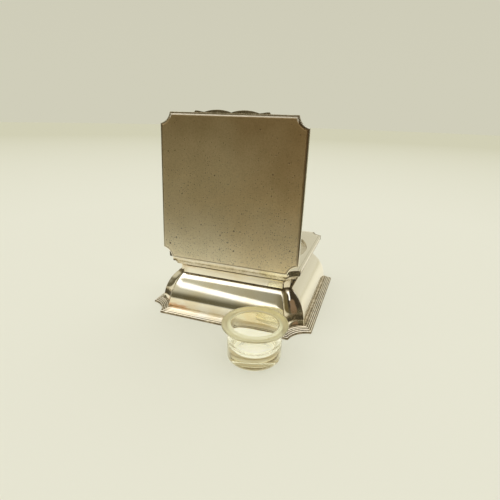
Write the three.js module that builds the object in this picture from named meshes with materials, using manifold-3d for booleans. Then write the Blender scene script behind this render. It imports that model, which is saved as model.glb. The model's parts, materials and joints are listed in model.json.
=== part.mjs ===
// A square desk inkwell in silver, with its lid open and its glass pot standing beside it.
// Millimetres. +Z is up, -Y is the front, where the lid's thumb piece is, and +Y is the hinge side.
// The origin is under the middle of the foot, on the table.

import * as THREE from 'three';
import { mergeVertices } from 'three/addons/utils/BufferGeometryUtils.js';
import Module from 'manifold-3d';

const wasm = await Module();
wasm.setup();

// Clearances
const fitGap = 0.3; // between two soldered or bedded pieces
const sheetGap = 0.2; // between the thin sheets of the lid
const overrun = 2; // how far a cutting body runs past what it cuts

// Foot border
const footHalf = 76; // half the width over the reeded border
const footNotch = 16.2; // reach of the corner notch along each side
const footEdgeHeight = 1.5; // top of the upright outer edge
const firstReedWidth = 1.2;
const reedWidth = 1.6;
const reedCount = 4;
const reedCrest = 0.4; // how far a reed rises above the line between its grooves
const reedClimb = 0.65; // rise from one groove to the next
const footBorderReach = 7.8; // from the outer edge in to the foot of the body
const footBorderRise = 2.8; // from the outer edge's top up to the foot of the body
const footSeatWidth = 2.5; // ledge inside the border that carries the body

// Base
const baizeThickness = 1;
const boardThickness = 5;

// Body
const silverSheet = 1.2; // thickness of the body's and the neck's sheet
const bodyRise = 28.5;
const bodyShoulderReach = 14.2; // from the foot of the body in to the crease at its top
const bodyNotch = 12; // corner notch at the foot of the body
const creaseNotch = 6.8;

// Neck
const neckRise = 10;
const neckWaistReach = 1.8; // from the crease in to the waist
const neckFlare = 3.7; // from the waist out to the lip
const neckWaistNotch = 5.2;
const neckLipNotch = 6.4;

// Stepped rim
const rimRise = 3.6;
const rimLedge = 1.3; // lowest step's stand-out from the neck's lip
const rimStepReach = 1.5;
const rimStepCount = 2;
const rimWallWidth = 3.7; // from the lowest step in to the rim's inner wall

// Top plate
const plateRise = 4.6; // height of the plain band round its edge
const plateStandOut = 2.5; // from the top step out to the band
const plateNotch = 8.7;
const plateFloorThickness = 0.9; // metal left under the round dish
const dishMargin = 6; // from the band's face in to the dish's wall

// Glass pot
const potHeight = 28.5;
const potRadius = 20.5;
const potBoreRadius = 18.1;
const potFlangeRadius = 24.9;
const potFlangeThickness = 2;
const potFloorThickness = 6.5;
const potBoreRounding = 11; // radius of the bowl between the bore's wall and its floor
const potFootRounding = 2.4; // radius of the lower outside edge
const potEdgeRounding = 0.9; // radius of the flange's edges
const potPlaceX = -40.3;
const potStandOff = 7.8; // from the foot's back face to the pot's wall

// Well
const wellClearance = 0.8; // air round and under the pot when it is in the well
const wellCupThickness = 0.7;

// Hinge
const hingeInset = 1.5; // from the plate's back face in to the hinge line
const knuckleRadius = 1.1;
const knuckleBoreRadius = 0.6;
const hingePinRadius = 0.45;
const hingePlugLength = 1.2;
const knuckleCount = 7;
const bearerWidth = 1.3; // strip that the knuckles are soldered along
const hingeRebateFloor = 0.7; // depth of the plate's rebate below the knuckles
const hingeRebateEndRoom = 0.8; // room past each end of the knuckles
const bodyBearerDrop = 0.2; // from the hinge line down to the body bearer's top

// Lid
const lidOpenDegrees = 87;
const lidEdgeHeight = 2; // height of the border's outer edge
const lidBandWidth = 1.1; // flat band round the outer face
const lidBandSeatDrop = 0.4; // from the band down to the panel's seat
const lidBorderWidth = 4.5;
const lidBevelWidth = 1;
const lidBevelRise = 0.6;
const lidLiningThickness = 0.8;

// Thumb piece
const thumbHalfWidth = 31.2;
const thumbEndRun = 1.2; // slope at each end
const thumbEndReach = 1.4;
const thumbDipPlace = 22;
const thumbDipReach = 0.5;
const thumbLobeReach = 2.3;
const thumbNotchReach = 0.4;
const thumbThickness = 1.2;
const thumbUnderside = 0.7; // above the joint between lid and plate

// Proportions of curves, and how finely they are faceted
const cornerLeanShare = 0.18; // how far a notch's centre stands outside the corner, per notch
const bulgeShares = [
  // height, stand-out from the crease, and notch between the crease's and the foot's
  [0, 1, 1],
  [0.085, 0.994, 1.17],
  [0.19, 0.972, 1.26],
  [0.305, 0.926, 1.25],
  [0.415, 0.861, 1.19],
  [0.525, 0.773, 1.12],
  [0.635, 0.659, 1.01],
  [0.745, 0.514, 0.79],
  [0.86, 0.32, 0.52],
  [0.965, 0.092, 0.16],
  [1, 0, 0],
];
const neckShares = [
  // height, and flare from the waist to the lip
  [0, 0.3],
  [0.1, 0.1],
  [0.28, 0],
  [0.5, 0.05],
  [0.7, 0.2],
  [0.86, 0.46],
  [0.95, 0.74],
  [1, 1],
];
const reedFlankShare = 0.28; // where a reed's crown starts and ends along its width
const thumbLobeLeanShare = 0.1; // how far a lobe's sides lean in, per half of the lobes' run
const cornerSteps = 6;
const roundSteps = 48;
const knuckleSteps = 16;
const roundingSteps = 4;
const curveSteps = 6;

// Heights worked out from the sizes above
const footTop = footEdgeHeight + footBorderRise;
const bodyBase = footTop + fitGap;
const bodyTop = footTop + bodyRise;
const neckBase = bodyTop + fitGap;
const neckTop = neckBase + neckRise;
const rimBase = neckTop + fitGap;
const rimTop = rimBase + rimRise;
const plateBase = rimTop + fitGap;
const plateTop = plateBase + plateRise;
const dishFloor = plateBase + plateFloorThickness;
const boardBase = baizeThickness + fitGap;
const boardTop = boardBase + boardThickness;

// Half widths worked out from the foot's
const bodyHalf = footHalf - footBorderReach;
const creaseHalf = bodyHalf - bodyShoulderReach;
const neckWaistHalf = creaseHalf - neckWaistReach;
const neckLipHalf = neckWaistHalf + neckFlare;
const rimHalf = neckLipHalf + rimLedge;
const plateHalf = rimHalf + rimStepReach * (rimStepCount - 1) + plateStandOut;
const dishRadius = plateHalf - dishMargin;
const hingeLineY = plateHalf - hingeInset;
const barrelHalf = plateHalf - plateNotch;
const potPlaceY = footHalf + potStandOff + potRadius;

// Colours
const finishes = {
  silver: { color: 0xd6d0bd, roughness: 0.2, metalness: 1 },
  satinSilver: { color: 0xa89878, roughness: 0.45, metalness: 1 },
  pitch: { color: 0x2a2420, roughness: 0.8, metalness: 0 },
  wood: { color: 0x6e4526, roughness: 0.6, metalness: 0 },
  baize: { color: 0x2e4a34, roughness: 1, metalness: 0 },
  steel: { color: 0x8f8f8c, roughness: 0.35, metalness: 1 },
  glass: { color: 0xe9e6c8, roughness: 0.05, metalness: 0, transparent: true, opacity: 0.4 },
};

// Outlines: a square with a concave round notch at each corner

function notchedSquare(half, notch) {
  const lean = notch * cornerLeanShare;
  return { half, centre: half + lean, radius: Math.hypot(notch + lean, lean) };
}

function inset(outline, depth) {
  return { half: outline.half - depth, centre: outline.centre, radius: outline.radius + depth };
}

function loopAt(outline, z) {
  const { half, centre, radius } = outline;
  const lean = Math.asin((centre - half) / radius);
  const points = [];
  for (let corner = 0; corner < 4; corner += 1) {
    const turn = corner * Math.PI / 2;
    for (let step = 0; step <= cornerSteps; step += 1) {
      const sweep = (Math.PI / 2 - 2 * lean) * step / cornerSteps;
      const angle = 3 * Math.PI / 2 - lean - sweep;
      const point = new THREE.Vector3(centre + radius * Math.cos(angle), centre + radius * Math.sin(angle), z);
      points.push(point.applyAxisAngle(new THREE.Vector3(0, 0, 1), turn));
    }
  }
  return points;
}

// Bodies from stacks of loops

function sideFaces(loops, closed) {
  const size = loops[0].length;
  const faces = [];
  const bands = closed ? loops.length : loops.length - 1;
  for (let band = 0; band < bands; band += 1) {
    const low = band * size;
    const high = ((band + 1) % loops.length) * size;
    for (let i = 0; i < size; i += 1) {
      const next = (i + 1) % size;
      faces.push(low + i, low + next, high + next, low + i, high + next, high + i);
    }
  }
  return faces;
}

function capFaces(loop, start, up) {
  const flat = loop.map((point) => new THREE.Vector2(point.x, point.y));
  const faces = [];
  for (const [a, b, c] of THREE.ShapeUtils.triangulateShape(flat, [])) {
    faces.push(start + a, up ? start + b : start + c, up ? start + c : start + b);
  }
  return faces;
}

function stack(loops, closed) {
  const geometry = new THREE.BufferGeometry().setFromPoints(loops.flat());
  const faces = sideFaces(loops, closed);
  if (!closed) {
    const last = loops.length - 1;
    faces.push(...capFaces(loops[0], 0, false));
    faces.push(...capFaces(loops[last], last * loops[0].length, true));
  }
  geometry.setIndex(faces);
  geometry.computeVertexNormals();
  return geometry;
}

const solidStack = (loops) => stack(loops, false);
const ringStack = (loops) => stack(loops, true);

function slab(outline, bottom, top) {
  return solidStack([loopAt(outline, bottom), loopAt(outline, top)]);
}

// Turned bodies: each profile is a closed run of [radius, height]

function turned(profile, steps = roundSteps) {
  const points = profile.map(([radius, height]) => new THREE.Vector2(radius, height));
  return new THREE.LatheGeometry(points, steps).rotateX(Math.PI / 2);
}

function roundedCorner(centreRadius, centreHeight, rounding, from, to) {
  const points = [];
  for (let step = 0; step <= roundingSteps; step += 1) {
    const angle = THREE.MathUtils.degToRad(from + (to - from) * step / roundingSteps);
    points.push([centreRadius + rounding * Math.cos(angle), centreHeight + rounding * Math.sin(angle)]);
  }
  return points;
}

function barAlongX(radius, from, to, steps = knuckleSteps) {
  const bar = new THREE.CylinderGeometry(radius, radius, to - from, steps);
  return bar.rotateZ(Math.PI / 2).translate((from + to) / 2, 0, 0);
}

function boxBetween(low, high) {
  const size = high.map((value, i) => value - low[i]);
  const middle = high.map((value, i) => (value + low[i]) / 2);
  return new THREE.BoxGeometry(...size).translate(...middle);
}

// Cutting one body by others

function toSolid(geometry) {
  const plain = geometry.clone();
  plain.deleteAttribute('normal');
  plain.deleteAttribute('uv');
  const welded = mergeVertices(plain);
  const mesh = new wasm.Mesh({
    numProp: 3,
    vertProperties: welded.attributes.position.array,
    triVerts: Uint32Array.from(welded.index.array),
  });
  return new wasm.Manifold(mesh);
}

function cut(geometry, tools) {
  const solid = tools.reduce((rest, tool) => rest.subtract(toSolid(tool)), toSolid(geometry));
  const mesh = solid.getMesh();
  const result = new THREE.BufferGeometry();
  result.setAttribute('position', new THREE.BufferAttribute(mesh.vertProperties, 3));
  result.setIndex(new THREE.BufferAttribute(mesh.triVerts, 1));
  result.computeVertexNormals();
  return result;
}

function piece(name, finish, geometry) {
  const mesh = new THREE.Mesh(geometry, new THREE.MeshStandardMaterial(finishes[finish]));
  mesh.name = name;
  return mesh;
}

// Foot and base

const footOutline = notchedSquare(footHalf, footNotch);
const bodyFootOutline = notchedSquare(bodyHalf, bodyNotch);
const footInnerOutline = inset(bodyFootOutline, footSeatWidth);

function reedLoops() {
  const loops = [];
  let groove = 0;
  for (let reed = 0; reed < reedCount; reed += 1) {
    const width = reed === 0 ? firstReedWidth : reedWidth;
    const low = footEdgeHeight + reed * reedClimb;
    for (const share of [0, reedFlankShare, 1 - reedFlankShare]) {
      const crest = share === 0 ? 0 : reedCrest;
      loops.push(loopAt(inset(footOutline, groove + width * share), low + reedClimb * share + crest));
    }
    groove += width;
  }
  loops.push(loopAt(inset(footOutline, groove), footEdgeHeight + reedCount * reedClimb));
  return loops;
}

function makeFootBorder() {
  return ringStack([
    loopAt(footOutline, 0),
    ...reedLoops(),
    loopAt(bodyFootOutline, footTop),
    loopAt(footInnerOutline, footTop),
    loopAt(footInnerOutline, 0),
  ]);
}

const boardOutline = inset(footInnerOutline, fitGap);

// Body shell, neck and their filling

function bodyOutline(standOut, deepening) {
  const half = creaseHalf + (bodyHalf - creaseHalf) * standOut;
  return notchedSquare(half, creaseNotch + (bodyNotch - creaseNotch) * deepening);
}

function bodyStations() {
  return bulgeShares.map(([rise, standOut, deepening]) => ({
    z: bodyBase + (bodyTop - bodyBase) * rise,
    outline: bodyOutline(standOut, deepening),
  }));
}

function bodyOutlineAt(z) {
  const rise = Math.max((z - bodyBase) / (bodyTop - bodyBase), 0);
  const next = bulgeShares.findIndex(([height]) => height > rise);
  const low = bulgeShares[next - 1];
  const share = (rise - low[0]) / (bulgeShares[next][0] - low[0]);
  const [, standOut, deepening] = low.map((value, i) => value + (bulgeShares[next][i] - value) * share);
  return bodyOutline(standOut, deepening);
}

function neckStations() {
  return neckShares.map(([rise, flare]) => ({
    z: neckBase + neckRise * rise,
    outline: notchedSquare(
      neckWaistHalf + neckFlare * flare,
      neckWaistNotch + (neckLipNotch - neckWaistNotch) * flare,
    ),
  }));
}

function sheetShell(stations) {
  const outside = stations.map(({ outline, z }) => loopAt(outline, z));
  const inside = stations.map(({ outline, z }) => loopAt(inset(outline, silverSheet), z));
  return ringStack([...outside, ...inside.reverse()]);
}

const rimInnerOutline = inset(notchedSquare(rimHalf, neckLipNotch), rimWallWidth);

function makeLoading() {
  const reach = silverSheet + fitGap;
  const stations = [...bodyStations(), ...neckStations()];
  const inside = stations.map(({ outline, z }) => loopAt(inset(outline, reach), z));
  const base = boardTop + fitGap;
  const loops = [loopAt(inset(bodyOutlineAt(base), reach), base)];
  loops.push(...inside.filter((loop) => loop[0].z > base));
  const collar = inset(rimInnerOutline, fitGap);
  loops.push(loopAt(collar, rimBase), loopAt(collar, plateBase - fitGap));
  return cut(solidStack(loops), [makeCupRoom()]);
}

// Stepped rim and top plate

function makeRim() {
  const loops = [];
  for (let step = 0; step < rimStepCount; step += 1) {
    const notch = neckLipNotch + (plateNotch - neckLipNotch) * step / rimStepCount;
    const outline = notchedSquare(rimHalf + rimStepReach * step, notch);
    loops.push(loopAt(outline, rimBase + rimRise * step / rimStepCount));
    loops.push(loopAt(outline, rimBase + rimRise * (step + 1) / rimStepCount));
  }
  loops.push(loopAt(rimInnerOutline, rimTop), loopAt(rimInnerOutline, rimBase));
  return ringStack(loops);
}

const plateOutline = notchedSquare(plateHalf, plateNotch);
const wellRadius = potRadius + wellClearance;
const rebateEnd = barrelHalf + hingeRebateEndRoom;
const rebateFront = hingeLineY - knuckleRadius - fitGap - bearerWidth - fitGap;

function makeTopPlate() {
  const dish = turned([[0, dishFloor], [dishRadius, dishFloor], [dishRadius, plateTop + overrun], [0, plateTop + overrun]]);
  const hole = turned([[0, plateBase - overrun], [wellRadius, plateBase - overrun], [wellRadius, plateTop], [0, plateTop]]);
  const rebate = boxBetween(
    [-rebateEnd, rebateFront, plateTop - knuckleRadius - hingeRebateFloor],
    [rebateEnd, plateHalf + overrun, plateTop + overrun],
  );
  return cut(slab(plateOutline, plateBase, plateTop), [dish, hole, rebate]);
}

// Well

const cupTop = plateBase - fitGap;
const cupRadius = wellRadius + wellCupThickness;
const cupFloor = dishFloor + potFlangeThickness - potHeight - wellClearance;
const cupBase = cupFloor - wellCupThickness;

function makeWellCup() {
  return turned([
    [0, cupBase],
    [cupRadius, cupBase],
    [cupRadius, cupTop],
    [wellRadius, cupTop],
    [wellRadius, cupFloor],
    [0, cupFloor],
  ]);
}

function makeCupRoom() {
  const radius = cupRadius + fitGap;
  const low = cupBase - fitGap;
  const high = plateTop;
  return turned([[0, low], [radius, low], [radius, high], [0, high]]);
}

// Hinge

const knuckleLength = (2 * barrelHalf - fitGap * (knuckleCount - 1)) / knuckleCount;
const bearerBack = -knuckleRadius - fitGap;
const bearerFront = bearerBack - bearerWidth;

function makeKnuckle(index) {
  const start = -barrelHalf + index * (knuckleLength + fitGap);
  const end = start + knuckleLength;
  const bore = barAlongX(knuckleBoreRadius, start - overrun, end + overrun);
  return cut(barAlongX(knuckleRadius, start, end), [bore]);
}

function makeHingePin() {
  const end = barrelHalf - hingePlugLength - fitGap;
  return barAlongX(hingePinRadius, -end, end);
}

function makeHingePlug(side) {
  const inner = side * (barrelHalf - hingePlugLength);
  const outer = side * barrelHalf;
  return barAlongX(hingePinRadius, Math.min(inner, outer), Math.max(inner, outer));
}

function makeBodyBearer() {
  const floor = -knuckleRadius - hingeRebateFloor + fitGap;
  return boxBetween([-barrelHalf, bearerFront, floor], [barrelHalf, bearerBack, -bodyBearerDrop]);
}

function makeLidBearer() {
  return boxBetween([-barrelHalf, bearerFront, fitGap], [barrelHalf, bearerBack, knuckleRadius]);
}

// Lid, closed, about the middle of the plate, with height zero at the joint

const lidBandTop = fitGap + lidEdgeHeight;
const lidSeatTop = lidBandTop - lidBandSeatDrop;
const lidPanelBase = lidSeatTop + sheetGap;

function makeLidBorder() {
  const ring = ringStack([
    loopAt(plateOutline, fitGap),
    loopAt(plateOutline, lidBandTop),
    loopAt(inset(plateOutline, lidBandWidth), lidBandTop),
    loopAt(inset(plateOutline, lidBandWidth), lidSeatTop),
    loopAt(inset(plateOutline, lidBorderWidth), lidSeatTop),
    loopAt(inset(plateOutline, lidBorderWidth), fitGap),
  ]);
  const rebate = boxBetween(
    [-rebateEnd, rebateFront, -overrun],
    [rebateEnd, plateHalf + overrun, knuckleRadius + fitGap],
  );
  return cut(ring, [rebate]);
}

function makeLidPlate() {
  const foot = inset(plateOutline, lidBandWidth + sheetGap);
  const face = inset(foot, lidBevelWidth);
  return solidStack([
    loopAt(foot, lidPanelBase),
    loopAt(foot, lidBandTop),
    loopAt(face, lidBandTop + lidBevelRise),
  ]);
}

function makeLidLining() {
  const outline = inset(plateOutline, lidBorderWidth + fitGap);
  return slab(outline, lidSeatTop - lidLiningThickness, lidSeatTop);
}

function thumbOutline() {
  const shape = new THREE.Shape();
  const endCrest = thumbHalfWidth - thumbEndRun;
  const slope = (endCrest + thumbDipPlace) / 2;
  const lean = thumbDipPlace * thumbLobeLeanShare;
  const crown = (8 * thumbLobeReach - thumbDipReach - thumbNotchReach) / 6;
  shape.moveTo(thumbHalfWidth, 0);
  shape.lineTo(-thumbHalfWidth, 0);
  shape.lineTo(-endCrest, thumbEndReach);
  shape.bezierCurveTo(-slope, thumbEndReach, -slope, thumbDipReach, -thumbDipPlace, thumbDipReach);
  shape.bezierCurveTo(lean - thumbDipPlace, crown, -lean, crown, 0, thumbNotchReach);
  shape.bezierCurveTo(lean, crown, thumbDipPlace - lean, crown, thumbDipPlace, thumbDipReach);
  shape.bezierCurveTo(slope, thumbDipReach, slope, thumbEndReach, endCrest, thumbEndReach);
  shape.closePath();
  return shape;
}

function makeThumbPiece() {
  const options = { depth: thumbThickness, bevelEnabled: false, curveSegments: curveSteps };
  const plate = new THREE.ExtrudeGeometry(thumbOutline(), options);
  return plate.rotateZ(Math.PI).translate(0, -plateHalf - sheetGap, thumbUnderside);
}

// Glass pot, about its own axis, standing on the table

function makePot() {
  const flangeBase = potHeight - potFlangeThickness;
  const footCentre = potRadius - potFootRounding;
  const edgeCentre = potFlangeRadius - potEdgeRounding;
  const boreCentre = potBoreRadius - potBoreRounding;
  return turned([
    [0, 0],
    ...roundedCorner(footCentre, potFootRounding, potFootRounding, -90, 0),
    [potRadius, flangeBase],
    ...roundedCorner(edgeCentre, flangeBase + potEdgeRounding, potEdgeRounding, -90, 0),
    ...roundedCorner(edgeCentre, potHeight - potEdgeRounding, potEdgeRounding, 0, 90),
    ...roundedCorner(potBoreRadius + potEdgeRounding, potHeight - potEdgeRounding, potEdgeRounding, 90, 180),
    ...roundedCorner(boreCentre, potFloorThickness + potBoreRounding, potBoreRounding, 0, -90),
    [0, potFloorThickness],
  ]);
}

// Assembly

function makeBody() {
  const body = new THREE.Group();
  body.add(piece('baize_pad', 'baize', slab(boardOutline, 0, baizeThickness)));
  body.add(piece('base_board', 'wood', slab(boardOutline, boardBase, boardTop)));
  body.add(piece('foot_border', 'silver', makeFootBorder()));
  body.add(piece('body_shell', 'silver', sheetShell(bodyStations())));
  body.add(piece('pitch_loading', 'pitch', makeLoading()));
  body.add(piece('neck_cavetto', 'silver', sheetShell(neckStations())));
  body.add(piece('stepped_rim', 'silver', makeRim()));
  body.add(piece('top_plate', 'silver', makeTopPlate()));
  body.add(piece('well_cup', 'silver', makeWellCup()));
  return body;
}

function isLidKnuckle(index) {
  return index % 2 === 1;
}

function addKnuckles(group, forLid) {
  for (let index = 0; index < knuckleCount; index += 1) {
    if (isLidKnuckle(index) === forLid) {
      group.add(piece(`hinge_knuckle_${index + 1}`, 'silver', makeKnuckle(index)));
    }
  }
}

function makeBodyHinge() {
  const hinge = new THREE.Group();
  hinge.position.set(0, hingeLineY, plateTop);
  hinge.add(piece('body_hinge_bearer', 'silver', makeBodyBearer()));
  addKnuckles(hinge, false);
  hinge.add(piece('hinge_pin', 'steel', makeHingePin()));
  hinge.add(piece('hinge_plug_left', 'silver', makeHingePlug(-1)));
  hinge.add(piece('hinge_plug_right', 'silver', makeHingePlug(1)));
  return hinge;
}

function makeLid() {
  const lid = new THREE.Group();
  lid.position.set(0, hingeLineY, plateTop);
  lid.rotation.x = -THREE.MathUtils.degToRad(lidOpenDegrees);
  lid.add(piece('lid_hinge_bearer', 'silver', makeLidBearer()));
  addKnuckles(lid, true);
  const leaf = new THREE.Group();
  leaf.position.y = -hingeLineY;
  leaf.add(piece('lid_border', 'silver', makeLidBorder()));
  leaf.add(piece('lid_plate', 'satinSilver', makeLidPlate()));
  leaf.add(piece('lid_lining', 'silver', makeLidLining()));
  leaf.add(piece('thumb_piece', 'silver', makeThumbPiece()));
  lid.add(leaf);
  return lid;
}

function placePot() {
  const pot = piece('glass_pot', 'glass', makePot());
  pot.position.set(potPlaceX, potPlaceY, 0);
  return pot;
}

const inkwell = new THREE.Group();
inkwell.add(makeBody(), makeBodyHinge(), makeLid(), placePot());

export default inkwell;
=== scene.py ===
# A square desk inkwell in silver, its lid open, with its glass pot standing behind it.
# Lengths are millimetres unless a comment says otherwise. The meshes are made in metres.
# +Z is up, -Y is the front and +Y is the hinge side, which the camera looks at.

import json
import math

import bpy
from mathutils import Matrix, Vector


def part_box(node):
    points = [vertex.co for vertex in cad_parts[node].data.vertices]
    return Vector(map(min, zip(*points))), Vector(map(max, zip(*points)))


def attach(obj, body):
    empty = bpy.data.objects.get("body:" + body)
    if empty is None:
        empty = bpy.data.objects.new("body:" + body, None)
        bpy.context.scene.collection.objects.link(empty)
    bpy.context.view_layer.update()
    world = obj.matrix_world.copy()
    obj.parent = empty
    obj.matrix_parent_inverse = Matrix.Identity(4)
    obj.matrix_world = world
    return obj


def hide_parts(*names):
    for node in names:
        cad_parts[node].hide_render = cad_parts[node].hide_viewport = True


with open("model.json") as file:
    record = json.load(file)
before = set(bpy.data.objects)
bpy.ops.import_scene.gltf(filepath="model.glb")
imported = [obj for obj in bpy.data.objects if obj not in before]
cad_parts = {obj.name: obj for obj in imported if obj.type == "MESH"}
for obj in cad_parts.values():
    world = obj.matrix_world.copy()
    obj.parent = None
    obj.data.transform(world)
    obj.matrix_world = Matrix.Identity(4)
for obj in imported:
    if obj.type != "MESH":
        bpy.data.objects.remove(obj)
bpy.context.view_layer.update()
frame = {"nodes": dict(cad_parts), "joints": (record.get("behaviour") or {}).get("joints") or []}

mm = 0.001


def frame_box(node):
    low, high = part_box(node)
    return low / mm, high / mm


# Places and sizes read from the frame
foot_high = frame_box("foot_border")[1]
body_high = frame_box("body_shell")[1]
neck_high = frame_box("neck_cavetto")[1]
rim_low, rim_high = frame_box("stepped_rim")
plate_low, plate_high = frame_box("top_plate")
cup_low, cup_high = frame_box("well_cup")
pot_low, pot_high = frame_box("glass_pot")
barrel_low, barrel_high = frame_box("hinge_knuckle_1")
barrel_end = frame_box("hinge_knuckle_7")[1].x
barrel_radius = (barrel_high.z - barrel_low.z) / 2
pot_place = (pot_low + pot_high) / 2
hinge_y = (barrel_low.y + barrel_high.y) / 2
plate_top = plate_high.z
lid_open = -next(j for j in frame["joints"] if j["name"] == "lid_hinge")["range_deg"][0]

# Grimes and films say how dark the metal is, from 0 for clean to 1 for black with tarnish. Besides
# tarnish they hold painted shade in creases, grooves, notches and channels, and on parts in shade.
# A table of grimes for an edge runs from its foot up.

# Foot border
foot_notch = 16.2
foot_edge_height = 1.5
foot_edge_rounding = 0.25
foot_seat_width = 2.5
reed_widths = (1.5, 1.5, 1.5, 1.5)
reed_crests = (0.3, 0.3, 0.3, 0.08)
reed_climb = 2.6
foot_inside_grime = 0.5
# painted shade on the foot's outer wall: a dark shadow line along the floor
foot_wall_painted_shade = 0.6
# tarnish and painted shade where the body sits on the foot
foot_seat_tarnish_and_shade = 0.15
# tarnish and painted shade in the foot's corner notches, darkening their bright reflections
foot_notch_tarnish_and_shade = 1.1
foot_notch_shade_film = 0.2
back_groove_reach = 1.8
# tarnish and painted shade in the outermost groove along the back
back_groove_tarnish_and_shade = 0.8
side_film = 0.5
side_film_least_share = 0.4
side_film_from = 4.6
side_film_reach = (0, 55)

# Body and neck
silver_sheet = 1.2
body_shoulder_reach = 14.2
body_notch = 12
crease_notch = 6.8
body_arris_rounding = 0.8
neck_waist_reach = 1.8
neck_waist_notch = 5.2
neck_lip_notch = 6.4
neck_arris_rounding = 0.4
crease_lift = 0.15
crease_roll = 0.25
neck_notch_tarnish_and_shade = 1.3
neck_notch_shade_film = 0.25

# Rim and plate
rim_step_reach = 1.5
rim_step_count = 2
rim_wall_width = 3.7
rim_edge_rounding = 0.22
rim_grimes = (1, 0.8, 0.6, 0.45, 0.35, 0.35, 0.3, 0.2, 0.2, 0.4)
rim_notch_tarnish_and_shade = 1.4
rim_notch_shade_film = 0.1
plate_notch = 8.7
plate_edge_rounding = 0.3
plate_arris_rounding = 0.25
plate_floor_thickness = 0.9
plate_notch_tarnish_and_shade = 1.5
plate_grimes = (0.9, 0.85, 0.8, 0.75, 0.7, 0.15, 0, 0, 0, 0)
plate_line_place = 2.1
plate_line_width = 0.3
plate_line_depth = 0.12
dish_margin = 6
dish_edge_rounding = 0.7
dish_floor_rounding = 1.1
dish_corner_grime = 0.4
well_clearance = 0.8
well_cup_thickness = 0.7
well_edge_rounding = 0.35
well_edge_grime = 0.3
well_corner_grime = 0.5
well_floor_grime = 0.2

# Hinge
bearer_width = 1.3
hinge_rebate_floor = 0.7
hinge_rebate_end_room = 0.8
fit_gap = 0.3
knuckle_bore_radius = 0.6
knuckle_chamfer = 0.12
knuckle_grime = 0.6

# Lid
lid_edge_height = 2
lid_band_width = 1.1
lid_band_seat_drop = 0.4
lid_border_width = 4.5
lid_bevel_width = 1
lid_bevel_rise = 0.6
lid_lining_thickness = 0.8
lid_edge_rounding = 0.22
lid_lining_gap = 0.1
# painted shade along the lid frame's front edge
lid_front_painted_shade = 0.8
lid_band_end_grime = 0.2
lid_inside_grime = 0.3
lid_bevel_grime = 0.45
lid_bevel_painted_highlight = -1  # below zero: a painted highlight, brighter than clean metal
lid_band_top = fit_gap + lid_edge_height
lid_seat_top = lid_band_top - lid_band_seat_drop

# Thumb piece
thumb_half_width = 31.2
thumb_end_run = 1.2
thumb_end_reach = 1.4
thumb_dip_place = 22
thumb_dip_reach = 0.5
thumb_lobe_reach = 2.3
thumb_notch_reach = 0.4
thumb_lobe_fullness = 0.75
# painted shade over the whole thumb piece, which faces away from the light
thumb_painted_shade = 0.75
thumb_thickness = 1.2
thumb_underside = 0.7
thumb_edge_rounding = 0.3
thumb_edge_ease_share = 0.3

# Glass pot
pot_radius = 20.5
pot_bore_radius = 18.1
pot_flange_thickness = 2
pot_floor_thickness = 6.5
pot_bore_rounding = 11
pot_foot_rounding = 2.4
pot_edge_rounding = 0.9
pot_neck_rounding = 1.2
pot_hollow = 0.35
pot_wall_cloud = 0.4

# Shapes of curves, and where tarnish and painted shade start and end along them
corner_lean_share = 0.18
notch_margin = 0.4
groove_edge_shares = (0.66, 0.82)
# Tarnish and painted shade at the body's seat on the foot, along the crease, and at the neck's foot and
# top
body_foot_tarnish_and_shade_share = 0.03
body_top_tarnish_and_shade_share = 0.0075
neck_foot_tarnish_and_shade_share = 0.05
neck_shade_share = 0.86
bulge_shares = [
    # height, stand-out from the crease, and notch between the crease's and the foot's
    (0, 1, 1), (0.085, 0.994, 1.17), (0.19, 0.972, 1.26), (0.305, 0.926, 1.25),
    (0.415, 0.861, 1.19), (0.525, 0.773, 1.12), (0.635, 0.659, 1.01), (0.745, 0.514, 0.79),
    (0.86, 0.32, 0.52), (0.965, 0.096, 0.16), (1, 0.02, 0),
]
channel_tarnish_and_shade_shares = [
    # rise, and tarnish with painted shade in the corner channels, which dims their lower reflections
    (0, 1), (0.03, 0.8), (0.05, 0), (0.13, 0), (0.18, 1.5), (0.26, 1.4),
    (0.38, 0.3), (0.55, 0), (0.9, 0), (0.96, 0.9), (1.01, 1),
]
neck_shares = [
    # height, and flare from the waist to the lip
    (0, 0.04), (0.1, 0.01), (0.28, 0), (0.5, 0.05),
    (0.7, 0.2), (0.86, 0.46), (0.95, 0.74), (1, 1),
]

# How finely curves are drawn, and the angles in degrees above which an edge is left sharp
side_steps = 20
reed_steps = 12
thumb_steps = 10
knuckle_count = 7
knuckle_steps = 40
notch_steps = 28
rounding_steps = 4
turned_edge_steps = 6
bowl_steps = 14
curve_steps = 5
turn_steps = 160
sharp_edge_angle = 32
sheet_edge_angle = 40


# Outlines: a square with a concave round notch at each corner, whose arrises are rounded


class Outline:
    def __init__(self, half, notch, centre=None, radius=None):
        lean = notch * corner_lean_share
        self.half = half
        self.centre = half + lean if centre is None else centre
        self.radius = math.hypot(notch + lean, lean) if radius is None else radius

    def inset(self, depth):
        return Outline(self.half - depth, 0, self.centre, self.radius + depth)


def arc(centre, radius, start, end, steps):
    angles = [start + (end - start) * step / steps for step in range(steps + 1)]
    return [(centre[0] + radius * math.cos(a), centre[1] + radius * math.sin(a)) for a in angles]


def corner_points(outline, rounding):
    half, centre, radius = outline.half, outline.centre, outline.radius
    x = half - rounding
    y = centre - math.sqrt((radius + rounding) ** 2 - (centre - x) ** 2)
    turn = math.atan2(centre - y, centre - x)
    first = arc((x, y), rounding, 0, turn, rounding_steps)
    notch = arc((centre, centre), radius, math.pi + turn, 1.5 * math.pi - turn, notch_steps)
    last = [(b, a) for a, b in reversed(first)]
    return first + notch[1:-1] + last


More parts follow.
